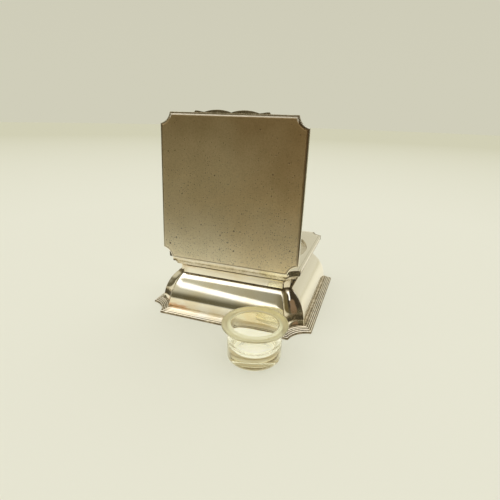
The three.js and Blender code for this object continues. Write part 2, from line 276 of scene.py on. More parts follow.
def loop_at(outline, z, rounding):
    """The outline at one height, anticlockwise, with its straight sides cut in short steps."""
    corner = corner_points(outline, rounding)
    start, side_y = corner[-1]
    end = -corner[0][1]
    shares = [step / side_steps for step in range(1, side_steps)]
    side = [(start + (end - start) * share, side_y) for share in shares]
    turns = [Matrix.Rotation(quarter * math.pi / 2, 3, "Z") for quarter in range(4)]
    return [turn @ Vector((x, y, z)) for turn in turns for x, y in corner + side]


def in_notch(point, outline):
    """True for the points of a loop that lie in its corner notches."""
    away = math.hypot(abs(point.x) - outline.centre, abs(point.y) - outline.centre)
    return away < outline.radius + notch_margin


def circle_like(loop, radius, z):
    """A round loop with a point in line with each point of another loop."""
    angles = [math.atan2(point.y, point.x) for point in loop]
    return [Vector((radius * math.cos(a), radius * math.sin(a), z)) for a in angles]


# Curves through chosen stations


def smooth(stations, steps):
    """Catmull-Rom points through the stations."""
    ends = [stations[0]] + list(stations) + [stations[-1]]
    points = []
    for before, start, end, after in zip(ends, ends[1:], ends[2:], ends[3:]):
        for step in range(steps):
            t = step / steps
            points.append(tuple(
                0.5 * (2 * b + (c - a) * t + (2 * a - 5 * b + 4 * c - d) * t ** 2
                       + (3 * b - a - 3 * c + d) * t ** 3)
                for a, b, c, d in zip(before, start, end, after)
            ))
    points.append(tuple(stations[-1]))
    return points


def share_between(value, start, end):
    return min(max((value - start) / (end - start), 0), 1)


# Meshes


def shade(mesh, sharp_angle):
    mesh.shade_smooth()
    mesh.set_sharp_from_angle(angle=math.radians(sharp_angle))


def make_object(name, points, faces, grime=None, sharp_angle=sharp_edge_angle):
    """A smooth-shaded object from points in millimetres. Grime, which also holds painted shade, has a
    value for each point.
    """
    mesh = bpy.data.meshes.new(name)
    mesh.from_pydata([Vector(point) * mm for point in points], [], faces)
    if grime is not None:
        layer = mesh.attributes.new("grime", "FLOAT", "POINT")
        layer.data.foreach_set("value", grime)
    mesh.validate()
    shade(mesh, sharp_angle)
    piece = bpy.data.objects.new(name, mesh)
    bpy.context.scene.collection.objects.link(piece)
    return piece


def stack(name, loops, closed=True, sharp_angle=sharp_edge_angle):
    """A body from a stack of (loop, grime and painted shade). A closed stack's last loop joins its
    first.

    Grime and shade is one value for the loop, or a rule that gives each point its own.
    """
    size = len(loops[0][0])
    points = [point for loop, _ in loops for point in loop]
    grime = [dirt_and_shade(point) if callable(dirt_and_shade) else dirt_and_shade for loop, dirt_and_shade in loops for point in loop]
    faces = []
    for band in range(len(loops) if closed else len(loops) - 1):
        low = band * size
        high = (band + 1) % len(loops) * size
        for i in range(size):
            after = (i + 1) % size
            faces.append((low + i, low + after, high + after, high + i))
    if not closed:
        last = (len(loops) - 1) * size
        faces.append(tuple(reversed(range(size))))
        faces.append(tuple(range(last, last + size)))
    return make_object(name, points, faces, grime, sharp_angle)


def turned(name, profile, centre=(0, 0), steps=turn_steps):
    """A body turned about a vertical axis from a closed run of (radius, height, grime).

    A ring on the axis is one point, so the faces beside it are triangles.
    """
    points, grime, rings = [], [], []
    for radius, height, dirt_and_shade in profile:
        ring = arc(centre, radius, 0, 2 * math.pi, steps)[:-1 if radius else 1]
        rings.append(range(len(points), len(points) + len(ring)))
        points += [(x, y, height) for x, y in ring]
        grime += [dirt_and_shade] * len(ring)
    faces = []
    for ring, following in zip(rings, rings[1:] + rings[:1]):
        for step in range(steps):
            after = (step + 1) % steps
            corners = [(ring, step), (ring, after), (following, after), (following, step)]
            face = tuple(dict.fromkeys(owner[place % len(owner)] for owner, place in corners))
            if len(face) > 2:
                faces.append(face)
    return make_object(name, points, faces, grime)


def rounded(across, height, rounding, start, end, dirt_and_shade=0, steps=turned_edge_steps):
    """A round stretch of a profile about a centre, from one angle to another, in degrees."""
    run = arc((across, height), rounding, math.radians(start), math.radians(end), steps)
    return [(*point, dirt_and_shade) for point in run]


def box_object(name, low, high):
    corners = [(low[0], low[1]), (high[0], low[1]), (high[0], high[1]), (low[0], high[1])]
    return stack(name, [([(x, y, z) for x, y in corners], 0) for z in (low[2], high[2])], closed=False)


def cut_away(piece, tool):
    """Takes the tool's space out of the piece, and the tool out of the scene."""
    modifier = piece.modifiers.new("cut", "BOOLEAN")
    modifier.operation = "DIFFERENCE"
    modifier.solver = "EXACT"
    modifier.object = tool
    graph = bpy.context.evaluated_depsgraph_get()
    graph.update()
    mesh = bpy.data.meshes.new_from_object(piece.evaluated_get(graph))
    piece.modifiers.clear()
    piece.data = mesh
    bpy.data.objects.remove(tool)
    shade(piece.data, sharp_edge_angle)


def edge_run(outline, low, high, rounding, arris, dirt_and_shade=0):
    """Loops up a plain upright edge whose lower and upper corners are rounded."""
    run = rounded(rounding, low + rounding, rounding, -90, -180, dirt_and_shade, rounding_steps)
    run += rounded(rounding, high - rounding, rounding, 180, 90, dirt_and_shade, rounding_steps)
    return [(loop_at(outline.inset(depth), z, arris), dirt_and_shade) for depth, z, dirt_and_shade in run]


# Foot border


def reed_profile():
    """(depth from the outer edge, height, grime and painted shade) over the reeds, from the outer edge
    inwards. The grooves are darkened.
    """
    run, start = [], 0
    for width, crest in zip(reed_widths, reed_crests):
        for step in range(reed_steps):
            bow = math.sin(math.pi * step / reed_steps)
            place = start + width * step / reed_steps
            height = foot_edge_height + reed_climb * place / sum(reed_widths) + crest * bow
            run.append((place, height, 1 - share_between(bow, *groove_edge_shares)))
        start += width
    run.append((start, foot_edge_height + reed_climb, 1))
    return run


def reed_grime_and_shade(dirt_and_shade, depth, outline):
    """Grooves are dark with tarnish and painted shade in the notches and along the sides. Along the back
    only the outermost one is.
    """
    film = side_film if depth >= side_film_from else 0

    def rule(point):
        # In the notches the reeds are darkened all over: tarnish, and painted shade over their
        # reflections
        if in_notch(point, outline):
            return min(dirt_and_shade * foot_notch_tarnish_and_shade + foot_notch_shade_film, 1)
        if point.y > abs(point.x):
            return dirt_and_shade * (back_groove_tarnish_and_shade if depth < back_groove_reach else 0)
        backwards = share_between(point.y, *side_film_reach)
        return min(dirt_and_shade + film * (side_film_least_share + (1 - side_film_least_share) * backwards), 1)
    return rule


def foot_loop(outline, z):
    return loop_at(outline, z, foot_edge_rounding)


def make_foot_border():
    outer = Outline(foot_high.x, foot_notch)
    seat = Outline(body_high.x, body_notch)
    inner = seat.inset(foot_seat_width)
    loops = [
        (foot_loop(inner, 0), foot_inside_grime),
        # painted shade: the foot's lowest loop and outer wall are dark, a shadow line where it meets the
        # floor
        (foot_loop(outer.inset(foot_edge_rounding), 0), 1),
        (foot_loop(outer, foot_edge_rounding), foot_wall_painted_shade),
    ]
    for depth, height, dirt_and_shade in reed_profile():
        edge = outer.inset(depth)
        loops.append((foot_loop(edge, height), reed_grime_and_shade(dirt_and_shade, depth, edge)))
    loops.append((foot_loop(seat, foot_high.z), reed_grime_and_shade(foot_seat_tarnish_and_shade, side_film_from, seat)))
    loops.append((foot_loop(inner, foot_high.z), foot_inside_grime))
    return stack("reeded_foot", loops)


# Body, neck and rim


def sheet_body(name, stations, arris, grimes):
    """A thin body from (outline, height) stations up its outer face, with a grime and painted shade for
    each.
    """
    outside, inside = [], []
    for (outline, z), dirt_and_shade in zip(stations, grimes):
        outside.append((loop_at(outline, z, arris), dirt_and_shade))
        inside.append((loop_at(outline.inset(silver_sheet), z, arris), dirt_and_shade))
    return stack(name, outside + inside[::-1], sharp_angle=sheet_edge_angle)


def bulge_stations():
    crease_half = body_high.x - body_shoulder_reach
    base, top = foot_high.z, body_high.z + crease_lift
    stations = []
    for rise, stand_out, deepening in smooth(bulge_shares, curve_steps):
        half = crease_half + body_shoulder_reach * stand_out
        notch = crease_notch + (body_notch - crease_notch) * deepening
        stations.append((Outline(half, notch), base + (top - base) * rise))
    return stations


def channel_tarnish_and_shade(dirt_and_shade, rise, outline):
    """More tarnish and painted shade in the corner channels than on the sides."""
    runs = zip(channel_tarnish_and_shade_shares, channel_tarnish_and_shade_shares[1:])
    (start, low), (end, high) = next(run for run in runs if rise <= run[1][0])
    tarnish_and_shade = low + (high - low) * share_between(rise, start, end)
    return darker_notch(dirt_and_shade, tarnish_and_shade, outline)


# In the corner notches the metal is darker: tarnish, and painted shade over the reflections there
def darker_notch(dirt_and_shade, tarnish_and_shade, outline):
    return lambda point: max(dirt_and_shade, tarnish_and_shade) if in_notch(point, outline) else dirt_and_shade


def notch_grime_and_shade(dirt_and_shade, factor, film, outline):
    return lambda point: min(dirt_and_shade * factor + film, 1) if in_notch(point, outline) else dirt_and_shade


def make_body_shell():
    stations = bulge_stations()
    top_outline, top = stations[-1]
    stations.append((top_outline.inset(crease_roll), top + crease_roll / 2))
    low, high = stations[0][1], stations[-1][1]
    grimes = []
    for outline, z in stations:
        rise = (z - low) / (high - low)
        # Tarnish and painted shade darken the body at its seat on the foot and along the crease at its
        # top
        foot = foot_seat_tarnish_and_shade * (1 - rise / body_foot_tarnish_and_shade_share)
        dirt_and_shade = max(foot, 1 - (1 - rise) / body_top_tarnish_and_shade_share, 0)
        grimes.append(channel_tarnish_and_shade(dirt_and_shade, rise, outline))
    return sheet_body("bulged_body", stations, body_arris_rounding, grimes)


def make_neck():
    waist = body_high.x - body_shoulder_reach - neck_waist_reach
    flare_reach = neck_high.x - waist
    base, top = body_high.z + crease_lift, rim_low.z
    stations, grimes = [], []
    for rise, flare in smooth(neck_shares, curve_steps):
        notch = neck_waist_notch + (neck_lip_notch - neck_waist_notch) * flare
        outline = Outline(waist + flare_reach * flare, notch)
        stations.append((outline, base + (top - base) * rise))
        # Tarnish and painted shade darken the neck's foot in the crease, and painted shade its top under
        # the rim
        above_foot = share_between(rise, neck_foot_tarnish_and_shade_share / 2, neck_foot_tarnish_and_shade_share)
        dirt_and_shade = max(1 - above_foot, share_between(rise, neck_shade_share, 1))
        grimes.append(notch_grime_and_shade(dirt_and_shade, neck_notch_tarnish_and_shade, neck_notch_shade_film, outline))
    return sheet_body("cavetto_neck", stations, neck_arris_rounding, grimes)


def make_rim():
    lowest = rim_high.x - rim_step_reach * (rim_step_count - 1)
    height = (plate_low.z - rim_low.z) / rim_step_count
    inner = Outline(lowest, neck_lip_notch).inset(rim_wall_width)
    loops = [(loop_at(inner, rim_low.z, rim_edge_rounding), 1)]
    for step in range(rim_step_count):
        notch = neck_lip_notch + (plate_notch - neck_lip_notch) * step / rim_step_count
        outline = Outline(lowest + rim_step_reach * step, notch)
        low = rim_low.z + height * step
        run = edge_run(outline, low, low + height, rim_edge_rounding, rim_edge_rounding)
        for (loop, _), dirt_and_shade in zip(run, rim_grimes):
            loops.append((loop, notch_grime_and_shade(dirt_and_shade, rim_notch_tarnish_and_shade, rim_notch_shade_film, outline)))
    loops.append((loop_at(inner, plate_low.z, rim_edge_rounding), 1))
    return stack("stepped_moulding", loops)


# Top plate with its dish and well hole


def plate_outline():
    return Outline(plate_high.x, plate_notch)


def plate_loop(outline, z):
    return loop_at(outline, z, plate_arris_rounding)


def hinge_recess(name, floor, top):
    half = barrel_end + hinge_rebate_end_room
    front = hinge_y - barrel_radius - 2 * fit_gap - bearer_width
    return box_object(name, (-half, front, floor), (half, plate_high.y + rim_step_reach, top))


def plate_face_loops():
    """The plate's top from its edge in to the dish, with one fine line scribed round it."""
    outline = plate_outline()
    place, width = plate_line_place, plate_line_width
    line = ((place, 0, 0), (place + width / 2, plate_line_depth, 1), (place + width, 0, 0))
    return [(plate_loop(outline.inset(depth), plate_top - drop), dirt_and_shade) for depth, drop, dirt_and_shade in line]


def dish_rings():
    """(radius, height, grime) from the dish's rim down and in over its floor to the well's hole."""
    wall = plate_high.x - dish_margin
    floor = plate_low.z + plate_floor_thickness
    hole = pot_radius + well_clearance
    edge, corner, hole_edge = dish_edge_rounding, dish_floor_rounding, well_edge_rounding
    run = rounded(wall + edge, plate_top - edge, edge, 90, 180)
    run += rounded(wall - corner, floor + corner, corner, 0, -90, dish_corner_grime)
    run += rounded(hole + hole_edge, floor - hole_edge, hole_edge, 90, 180)
    return run + [(hole, plate_low.z, well_edge_grime)]


def make_top_plate():
    outline = plate_outline()
    run = edge_run(outline, plate_low.z, plate_top, plate_edge_rounding, plate_arris_rounding)
    loops = []
    for (loop, _), dirt_and_shade in zip(run, plate_grimes):
        loops.append((loop, darker_notch(dirt_and_shade, plate_notch_tarnish_and_shade, outline)))
    loops += plate_face_loops()
    pattern = plate_loop(outline.inset(dish_margin), 0)
    loops += [(circle_like(pattern, radius, height), dirt_and_shade) for radius, height, dirt_and_shade in dish_rings()]
    piece = stack("dished_plate", loops)
    floor = barrel_low.z - hinge_rebate_floor
    cut_away(piece, hinge_recess("plate_recess", floor, plate_top + rim_step_reach))
    return piece


def make_well_cup():
    radius, base = cup_high.x, cup_low.z
    inner = radius - well_cup_thickness
    floor = base + well_cup_thickness
    foot, corner = dish_floor_rounding, dish_edge_rounding
    profile = [(0, base, 0)]
    profile += rounded(radius - foot, base + foot, foot, -90, 0)
    profile += [(radius, plate_low.z, 0), (inner, plate_low.z, 0)]
    profile += rounded(inner - corner, floor + corner, corner, 0, -90, well_corner_grime)
    profile += [(0, floor, well_floor_grime)]
    return turned("silver_well", profile)


# Hinge knuckles


def make_knuckle(number):
    low, high = frame_box(f"hinge_knuckle_{number}")
    radius = (high.z - low.z) / 2
    length = high.x - low.x
    bore, chamfer = knuckle_bore_radius, knuckle_chamfer
    profile = [
        (bore, 0, 1),
        (radius - chamfer, 0, 1),
        (radius, chamfer, knuckle_grime),
        (radius, length - chamfer, knuckle_grime),
        (radius - chamfer, length, 1),
        (bore, length, 1),
    ]
    piece = turned(f"barrel_knuckle_{number}", profile, steps=knuckle_steps)
    middle = (low + high) / 2
    place = Matrix.Translation(Vector((low.x, middle.y, middle.z)) * mm)
    piece.data.transform(place @ Matrix.Rotation(math.pi / 2, 4, "Y"))
    return piece


# Lid, made shut about the middle of the plate with height zero at the joint, then opened


def lid_place():
    hinge = Matrix.Translation(Vector((0, hinge_y, plate_top)) * mm)
    opened = hinge @ Matrix.Rotation(-math.radians(lid_open), 4, "X")
    return opened @ Matrix.Translation(Vector((0, -hinge_y, 0)) * mm)


def lid_band_painted_shade(point):
    """Painted shade along the lid's front edge, and clean round the rest of it."""
    return lid_front_painted_shade if point.y < -abs(point.x) else 0


def lid_bevel_rule(point):
    """A painted highlight along the straight of the front edge, and tarnished round the rest."""
    straight = plate_high.x - plate_notch
    at_front = point.y < -straight and abs(point.x) <= straight
    return lid_bevel_painted_highlight if at_front else lid_bevel_grime


def make_lid_border():
    outline = plate_outline()
    band, inner = outline.inset(lid_band_width), outline.inset(lid_border_width)
    edge, arris = lid_edge_rounding, plate_arris_rounding
    loops = edge_run(outline, fit_gap, lid_band_top, edge, arris, lid_band_painted_shade)
    loops += [
        (plate_loop(band.inset(-edge), lid_band_top), lid_band_end_grime),
        (plate_loop(band, lid_band_top - edge), 1),
        (plate_loop(band, lid_seat_top), 1),
        (plate_loop(inner, lid_seat_top), lid_inside_grime),
        (plate_loop(inner, fit_gap), lid_inside_grime),
    ]
    piece = stack("lid_frame", loops)
    cut_away(piece, hinge_recess("lid_recess", -rim_step_reach, barrel_radius + fit_gap))
    return piece


def make_lid_panel():
    """The bevelled panel. A flat strip inside its edge keeps the shading of its face even."""
    rounding = lid_edge_rounding
    foot = plate_outline().inset(lid_band_width)
    face = foot.inset(lid_bevel_width)
    top = lid_band_top + lid_bevel_rise
    loops = [
        (plate_loop(foot, lid_seat_top), 1),
        (plate_loop(foot, lid_band_top), 1),
        (plate_loop(foot.inset(rounding), lid_band_top + rounding / 2), lid_bevel_rule),
        (plate_loop(face, top - rounding / 3), lid_bevel_rule),
        (plate_loop(face.inset(rounding), top), 0),
        (plate_loop(face.inset(3 * rounding), top), 0),
    ]
    return stack("lid_panel", loops, closed=False)


def make_lid_lining():
    outline = plate_outline().inset(lid_border_width + lid_lining_gap)
    base = lid_seat_top - lid_lining_thickness
    loops = edge_run(outline, base, lid_seat_top, lid_edge_rounding, plate_arris_rounding)
    return stack("lid_inner_sheet", loops, closed=False)


def thumb_outline():
    """The outline from above, with x along the lid's edge and y standing out from it."""
    end_crest = thumb_half_width - thumb_end_run
    half = [(thumb_half_width, 0)]
    for step in range(thumb_steps):
        t = step / thumb_steps
        ease = (1 + math.cos(math.pi * t)) / 2
        reach = thumb_dip_reach + (thumb_end_reach - thumb_dip_reach) * ease
        half.append((end_crest + (thumb_dip_place - end_crest) * t, reach))
    for step in range(2 * thumb_steps):
        t = step / (2 * thumb_steps)
        base = thumb_dip_reach + (thumb_notch_reach - thumb_dip_reach) * t
        lobe = (thumb_lobe_reach - base) * math.sin(math.pi * t) ** thumb_lobe_fullness
        half.append((thumb_dip_place * (1 - t), base + lobe))
    mirrored = [(-x, y) for x, y in half]
    return mirrored + [(0, thumb_notch_reach)] + half[::-1]


def make_thumb_piece():
    """The outline stacked from its underside up, drawn in at its rounded edges and again inside them."""
    rounding = thumb_edge_rounding
    eased = rounding * thumb_edge_ease_share
    edge = [(2 * rounding, 0), (rounding, 0), (eased, eased), (0, rounding)]
    levels = [(depth, thumb_underside + rise) for depth, rise in edge]
    levels += [(depth, thumb_underside + thumb_thickness - rise) for depth, rise in reversed(edge)]
    front = -plate_high.x
    loops = []
    for depth, z in levels:
        share = 1 - depth / (2 * thumb_lobe_reach)
        # The whole thumb piece is darkened with painted shade
        loops.append(([Vector((x, front - y * share, z)) for x, y in thumb_outline()], thumb_painted_shade))
    return stack("lobed_thumb_piece", loops, closed=False)


# Glass pot


def make_pot():
    top = pot_high.z
    flange_radius = (pot_high.x - pot_low.x) / 2
    flange_base = top - pot_flange_thickness
    floor = pot_floor_thickness
    foot, neck = pot_foot_rounding, pot_neck_rounding
    edge, bowl = pot_edge_rounding, pot_bore_rounding
    profile = [(0, pot_hollow, 0), (pot_radius - 2 * foot, pot_hollow, 0)]
    profile += rounded(pot_radius - foot, foot, foot, -90, 0, pot_wall_cloud)
    profile += rounded(pot_radius + neck, flange_base - neck, neck, 180, 90, pot_wall_cloud)
    profile += rounded(flange_radius - edge, flange_base + edge, edge, -90, 0, 1)
    profile += rounded(flange_radius - edge, top - edge, edge, 0, 90, 1)
    profile += rounded(pot_bore_radius + edge, top - edge, edge, 90, 180, 1)
    profile += rounded(pot_bore_radius - bowl, floor + bowl, bowl, 0, -90, 0, bowl_steps)
    profile += [(0, floor, 0)]
    return turned("clear_pot", profile, (pot_place.x, pot_place.y))


# Materials


class NodeTree:
    """Short calls for the nodes that the finishes and the room share."""

    ramp_kind = "LINEAR"

    def __init__(self, owner):
        owner.use_nodes = True
        self.tree = owner.node_tree

    def add(self, kind, *values, **settings):
        """A node with its settings, and with values or links for its first inputs."""
        node = self.tree.nodes.new(kind)
        for key, value in settings.items():
            setattr(node, key, value)
        for value, socket in zip(values, node.inputs):
            self.connect(value, socket)
        return node

    def fill(self, node, **values):
        for key, value in values.items():
            self.connect(value, node.inputs[key.replace("_", " ")])

    def connect(self, value, socket):
        if isinstance(value, bpy.types.NodeSocket):
            self.tree.links.new(value, socket)
        elif isinstance(value, tuple) and len(value) < len(socket.default_value):
            socket.default_value = (*value, 1)
        else:
            socket.default_value = value

    def ramp(self, value, low, high, start=0.0, end=1.0):
        """Runs from start to end while the value runs from low to high."""
        node = self.add("ShaderNodeMapRange", clamp=True, interpolation_type=self.ramp_kind)
        self.fill(node, Value=value, From_Min=low, From_Max=high, To_Min=start, To_Max=end)
        return node.outputs["Result"]

    def sum(self, a, b, operation="ADD", clamp=False):
        return self.add("ShaderNodeMath", a, b, operation=operation, use_clamp=clamp).outputs["Value"]

    def times(self, product, *factors):
        for factor in factors:
            product = self.sum(product, factor, "MULTIPLY")
        return product

    def mix(self, share, first, second, blend="MIX"):
        node = self.add("ShaderNodeMix", data_type="RGBA", blend_type=blend)
        # The share and the two colours, among the sockets for every kind of value
        for value, place in ((share, 0), (first, 6), (second, 7)):
            self.connect(value, node.inputs[place])
        return node.outputs[2]


class Finish(NodeTree):
    """The node material of a piece."""

    def __init__(self, name):
        self.material = bpy.data.materials.new(name)
        super().__init__(self.material)
        self.shader = self.tree.nodes["Principled BSDF"]
        self.place = self.add("ShaderNodeTexCoord").outputs["Object"]

    def set(self, **values):
        self.fill(self.shader, **values)

    def noise(self, size, detail=3, roughness=0.5, stretch=None):
        """Cloudy noise from 0 to 1 whose patches are about size millimetres across."""
        place = self.place
        if stretch:
            mapping = self.add("ShaderNodeMapping", place)
            self.fill(mapping, Scale=stretch)
            place = mapping.outputs["Vector"]
        node = self.add("ShaderNodeTexNoise", place)
        self.fill(node, Scale=1 / (size * mm), Detail=detail, Roughness=roughness)
        return node.outputs["Fac"]

    def over(self, place, low, high):
        """Runs from 0 to 1 while a place runs between two distances in millimetres."""
        return self.ramp(place, low * mm, high * mm)

    def spread(self, noise, start=0.0, end=1.0):
        """Runs from start to end over the values that most of a noise lies between."""
        return self.ramp(noise, *usual_noise, start, end)

    def patches(self, low, high, start=0.0, end=1.0, **noise):
        """Runs from start to end where a noise runs from low to high."""
        return self.ramp(self.noise(**noise), low, high, start, end)

    def grime(self):
        return self.add("ShaderNodeAttribute", attribute_name="grime").outputs["Fac"]

    def along(self, axis):
        return self.add("ShaderNodeSeparateXYZ", self.place).outputs[axis]

    def streak_tint(self, colour, tint, most, size, stretch, softness, **reach):
        """Multiplies a colour by a tint in cloudy streaks along X, inside a box with soft edges."""
        share = self.patches(end=most, size=size, stretch=(stretch, 1, 1), **stain_streaks)
        for axis, (low, high) in reach.items():
            place = self.along(axis)
            share = self.times(share, self.over(place, low - softness, low))
            share = self.times(share, self.over(place, high + softness, high))
        return self.mix(share, colour, tint, "MULTIPLY")

    def bump(self, height, depth, **under):
        """Surface relief: a height from 0 to 1 stands for depth millimetres."""
        node = self.add("ShaderNodeBump")
        self.fill(node, Height=height, Distance=depth * mm, **under)
        return node.outputs["Normal"]


# Most of a noise lies between these values
usual_noise = (0.3, 0.7)

# Silver: colours, then where tarnish and painted shade start, then patterns and reliefs in millimetres
clean_silver = (0.93, 0.88, 0.76)
# warm on the back: partly tarnish, partly a painted warm reflection
warm_tarnish_and_reflection = (0.88, 0.77, 0.55)
tarnish_and_shade_brown = (0.092, 0.077, 0.048)
tarnish_and_shade_film = (0.5, 0.4, 0.24)
tarnish_and_shade_share = 0.95
film_full = 0.6
tarnish_and_shade_from = 0.3
tarnish_roughness = 0.35
warm_back = (35, 60)
warm_clouds = dict(size=26, detail=4, low=0.42, high=0.68)
tarnish_patches = dict(size=6, detail=4, low=0.3, high=0.6, start=0.6)
tarnish_specks = dict(size=1.3, low=0.35, high=0.55, start=0.6)
polish_scratches = dict(size=0.9, detail=5, stretch=(0.04, 1, 1))
scratch_depth = 0.003
scratch_roughness = 0.05
hammer_waves = dict(size=14, detail=1)
hammer_depth = 0.05
silver_roughness = 0.05
foot_roughness = 0.32

# Brown streaks and a patch on the back, with the sides of the box that holds each in millimetres. The
# neck's patch is painted shade under the plate's corner.
stain_streaks = dict(detail=5, roughness=0.6, low=0.42, high=0.62)
foot_brown_streaks = dict(
    tint=(0.78, 0.5, 0.34), most=0.9, size=5, stretch=0.35, softness=4,
    X=(26, 64), Y=(60, 90), Z=(4, 8.5))
neck_streaks = dict(
    tint=(0.7, 0.52, 0.33), most=0.55, size=5, stretch=0.07, softness=3,
    X=(-48, 50), Y=(45, 90), Z=(39, 43))
# painted shade at the neck's end under the plate's corner
neck_shade_patch = dict(
    tint=(0.5, 0.34, 0.2), most=0.9, size=4, stretch=0.4, softness=2,
    X=(36, 52), Y=(45, 90), Z=(42, 46))

# Satin lid: colours towards its front edge, in its middle and towards the hinge. The dark front and pale
# hinge side are partly tarnish and partly painted shading of the lid's reflection.
satin_front_shaded = (0.5, 0.36, 0.18)
satin_middle = (0.88, 0.71, 0.43)
satin_back_lit = (1.0, 0.9, 0.67)
satin_warm = (1.0, 0.93, 0.84)
satin_cloud = (0.78, 0.79, 0.73)
satin_brown = (0.6, 0.55, 0.48)
pit_brown = (0.12, 0.07, 0.04)
# painted highlight colour of the lid's front bevel, pale and less metallic
bevel_highlight_colour = (0.82, 0.74, 0.6)
satin_reach = 58
satin_drift = 14
satin_drift_noise = dict(size=60, detail=2)
satin_warm_from = 10
satin_lean = 0.12
satin_clouds = dict(size=19, detail=5, roughness=0.6, low=0.4, high=0.75, end=0.38)
satin_mottle = dict(size=1.1, detail=4, low=0.42, high=0.7, end=0.35)
satin_grain = dict(size=0.4, stretch=(1, 0.02, 1))
satin_grain_share = 0.1
satin_grain_depth = 0.008
satin_roughness = (0.28, 0.34)
satin_metallic = 0.8
bevel_highlight_metallic = 0.3

# Pits in the lid: for each set their spacing, their size as a share of it, and how many cells hold one
pit_sets = ((1.7, 0.15, 0.8), (6, 0.09, 0.3))
pit_patches = dict(size=22, low=0.35, high=0.65, start=0.3)
pit_front_share = 0.08
pit_size_shares = (0.5, 1.5)
pit_darkness = (0.4, 0.95)
pit_depth = 0.08

# Glass: clear in the bore, cloudy with wear on the flange
glass_clear = (1, 1, 1)
glass_cloudy = (1, 0.985, 0.81)
glass_cloudy_roughness = 0.28
glass_refraction = 1.38
glass_body_tint = (0.93, 0.9, 0.66)
glass_density = 9

# Plain pieces: the finish's name, two colours, the size of their patches, roughness and relief
matt_grain = dict(detail=6, roughness=0.6)
matt_spread = (0.35, 0.65)
matt_finishes = {
    "hinge_pin": ("pin_wire", (0.4, 0.4, 0.38), (0.3, 0.3, 0.29), 2, 0.35, 0.01),
    "pitch_loading": ("cast_pitch", (0.05, 0.04, 0.035), (0.09, 0.07, 0.06), 4, 0.8, 0.3),
    "baize_pad": ("green_baize", (0.05, 0.12, 0.06), (0.09, 0.18, 0.1), 0.6, 1, 0.2),
}
wood_lines = dict(size=7, detail=6, roughness=0.65, stretch=(0.06, 1, 1))
wood_light = (0.3, 0.16, 0.075)
wood_dark = (0.15, 0.075, 0.035)
wood_roughness = (0.5, 0.7)
wood_relief = 0.08


def silver_finish(name, roughness=silver_roughness, streak_tints=()):
    """Polished silver, warmer on the back with tarnish and a painted warm reflection, dark where grime
    and painted shade say so, with any streaks given.
    """
    finish = Finish(name)
    # Warmer on the back: partly tarnish, partly a painted warm reflection
    warm = finish.times(finish.patches(**warm_clouds), finish.over(finish.along("Y"), *warm_back))
    colour = finish.mix(warm, clean_silver, warm_tarnish_and_reflection)
    for streak_tint in streak_tints:
        colour = finish.streak_tint(colour, **streak_tint)
    uneven = finish.times(finish.patches(**tarnish_patches), finish.patches(**tarnish_specks))
    dirt_and_shade = finish.times(finish.grime(), uneven)
    # Tarnish and painted shade darken the colour with a film, then with brown
    colour = finish.mix(finish.ramp(dirt_and_shade, 0, film_full), colour, tarnish_and_shade_film)
    colour = finish.mix(finish.ramp(dirt_and_shade, tarnish_and_shade_from, 1, 0, tarnish_and_shade_share), colour, tarnish_and_shade_brown)
    scratches = finish.noise(**polish_scratches)
    rubbed = finish.spread(scratches, roughness, roughness + scratch_roughness)
    finish.set(Base_Color=colour, Metallic=1)
    finish.set(Roughness=finish.sum(rubbed, finish.times(dirt_and_shade, tarnish_roughness)))
    waves = finish.bump(finish.noise(**hammer_waves), hammer_depth)
    finish.set(Normal=finish.bump(scratches, scratch_depth, Normal=waves))
    return finish.material


def satin_finish():
    """Brushed along the lid's length, browner towards its front edge and paler towards the hinge, partly
    tarnish and partly painted shading, with small dark pits and a painted highlight on the front bevel.
    """
    finish = Finish("satin_lid_silver")
    length, width = finish.along("Y"), finish.along("X")
    drift = finish.spread(finish.noise(**satin_drift_noise), -satin_drift * mm, satin_drift * mm)
    place = finish.sum(finish.sum(length, drift), finish.times(width, satin_lean))
    # painted shading with tarnish: dark towards the front edge, pale towards the hinge
    colour = finish.mix(finish.over(place, -satin_reach, 0), satin_front_shaded, satin_middle)
    colour = finish.mix(finish.over(place, 0, satin_reach), colour, satin_back_lit)
    warm = finish.over(finish.sum(width, drift), satin_warm_from, -satin_reach)
    colour = finish.mix(warm, colour, satin_warm, "MULTIPLY")
    colour = finish.mix(finish.patches(**satin_clouds), colour, satin_cloud, "MULTIPLY")
    grain = finish.noise(**satin_grain)
    colour = finish.mix(finish.spread(grain, 0, satin_grain_share), colour, satin_brown, "MULTIPLY")
    colour = finish.mix(finish.patches(**satin_mottle), colour, satin_brown, "MULTIPLY")
    small, large = (satin_pits(finish, *pits) for pits in pit_sets)
    pits = finish.sum(small, large, "MAXIMUM")
    edge = finish.grime()
    # a painted highlight on the front bevel: pale colour, less metallic
    highlight = finish.ramp(edge, 0, lid_bevel_painted_highlight)
    colour = finish.mix(finish.sum(pits, edge, "MAXIMUM"), colour, pit_brown)
    finish.set(Base_Color=finish.mix(highlight, colour, bevel_highlight_colour))
    finish.set(Metallic=finish.ramp(highlight, 0, 1, satin_metallic, bevel_highlight_metallic))
    finish.set(Roughness=finish.spread(grain, *satin_roughness))
    relief = finish.bump(grain, satin_grain_depth)
    finish.set(Normal=finish.bump(finish.ramp(pits, 0, 1, 1, 0), pit_depth, Normal=relief))
    return finish.material


